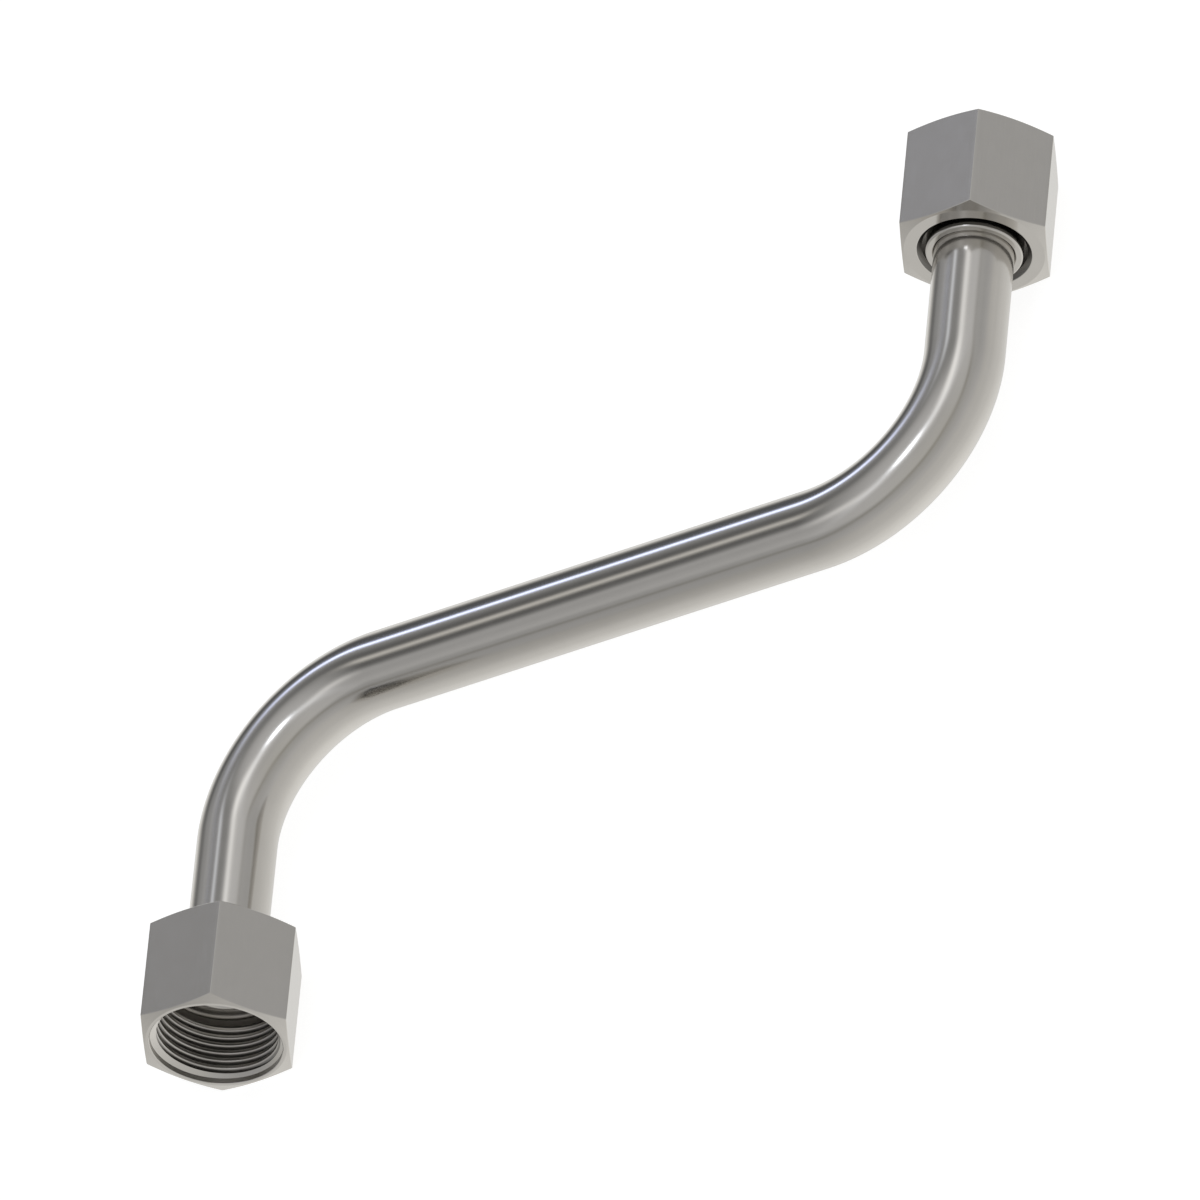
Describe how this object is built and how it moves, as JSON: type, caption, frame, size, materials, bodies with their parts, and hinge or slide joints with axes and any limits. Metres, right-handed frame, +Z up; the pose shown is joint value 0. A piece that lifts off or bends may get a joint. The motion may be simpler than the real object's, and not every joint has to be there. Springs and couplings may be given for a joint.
{
  "type": "hydraulic bypass line",
  "caption": "Bent steel hydraulic tube, stepped in one plane, with flanged flat-faced ends, each backed by a loose sleeve and held by a hexagon nut that turns and slides back.",
  "frame": {"origin": "on the bench, under the middle of the tube's middle run, at the centre of the part's box", "axes": "+X along the middle run towards the right leg, +Y along the legs towards the right end's mouth, +Z up from the bench, square to the tube's plane"},
  "size_m": [0.198, 0.1592, 0.0286],
  "materials": {
    "tube_steel": "bright polished",
    "sleeve_steel": "bright turned",
    "nut_steel": "bright machined"
  },
  "bodies": {
    "tube": {"bent_tube": "tube_steel"},
    "left_sleeve": {"left_sleeve": "sleeve_steel"},
    "left_nut": {"left_nut": "nut_steel"},
    "right_sleeve": {"right_sleeve": "sleeve_steel"},
    "right_nut": {"right_nut": "nut_steel"}
  },
  "joints": [
    {"name": "left_sleeve_slide", "type": "slide", "parent": "tube", "child": "left_sleeve", "axis": [0, 1, 0], "range_m": [0, 0.02345]},
    {"name": "left_nut_swivel", "type": "hinge", "parent": "left_sleeve", "child": "left_nut", "pos_m": [-0.0825, -0.0678, 0.01429], "axis": [0, -1, 0], "continuous": true},
    {"name": "right_sleeve_slide", "type": "slide", "parent": "tube", "child": "right_sleeve", "axis": [0, -1, 0], "range_m": [0, 0.02345]},
    {"name": "right_nut_swivel", "type": "hinge", "parent": "right_sleeve", "child": "right_nut", "pos_m": [0.0825, 0.0678, 0.01429], "axis": [0, 1, 0], "continuous": true}
  ]
}
